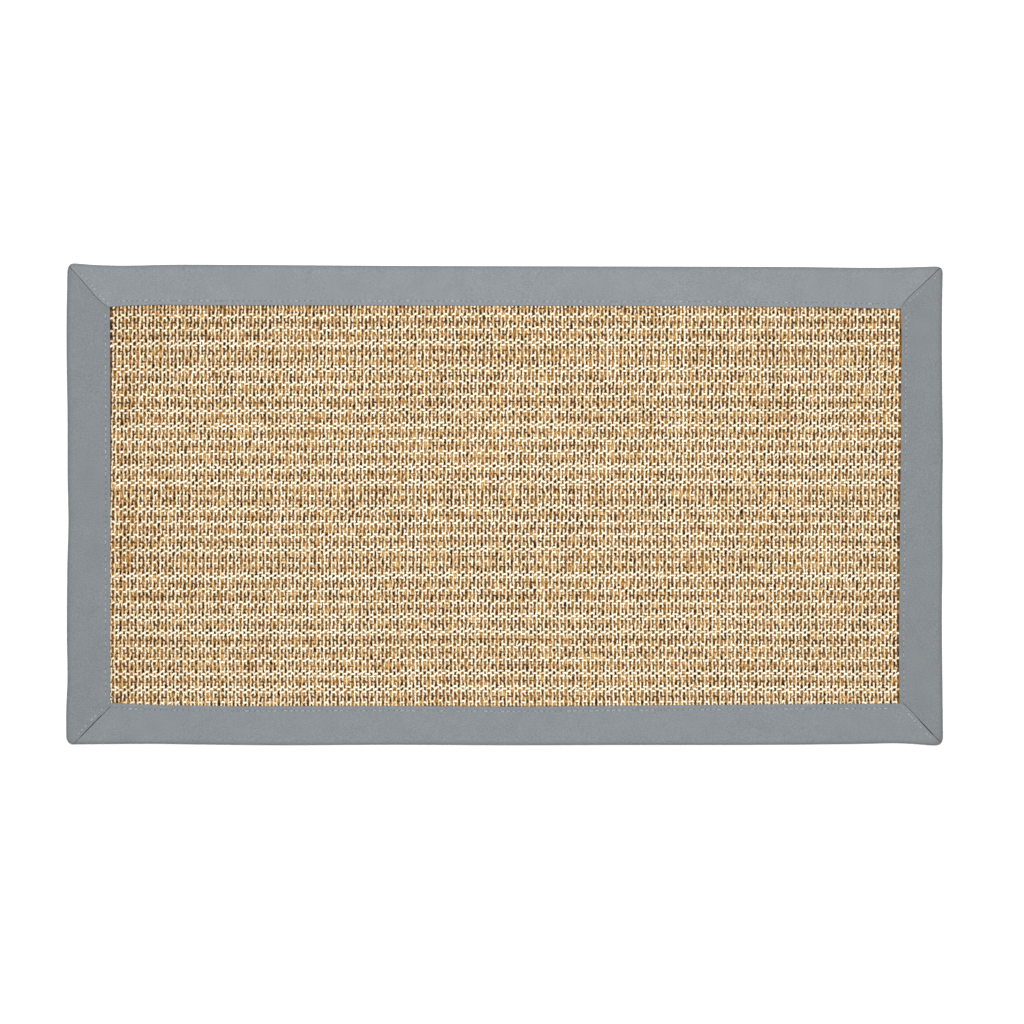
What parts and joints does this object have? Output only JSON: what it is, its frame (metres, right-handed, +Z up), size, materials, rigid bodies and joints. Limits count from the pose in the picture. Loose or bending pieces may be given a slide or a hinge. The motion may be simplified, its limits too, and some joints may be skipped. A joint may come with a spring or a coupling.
{
  "type": "rug",
  "caption": "Flat rectangular woven sisal rug with fine cross ribs, edged all round by a wide folded cloth border with mitred corners.",
  "frame": {"origin": "middle of the rug's outline, on the floor under it", "axes": "+X along the rug's length, +Y across it towards the picture's upper edge, +Z up through its face"},
  "size_m": [1.1017, 0.6057, 0.0068],
  "materials": {
    "sisal": "matt twisted sisal yarn, cream and tan with dark brown gaps",
    "border_cloth": "matt grey woven cotton tape"
  },
  "bodies": {
    "root": {"sisal_field": "sisal", "border_top": "border_cloth", "border_right": "border_cloth", "border_bottom": "border_cloth", "border_left": "border_cloth"}
  },
  "joints": []
}
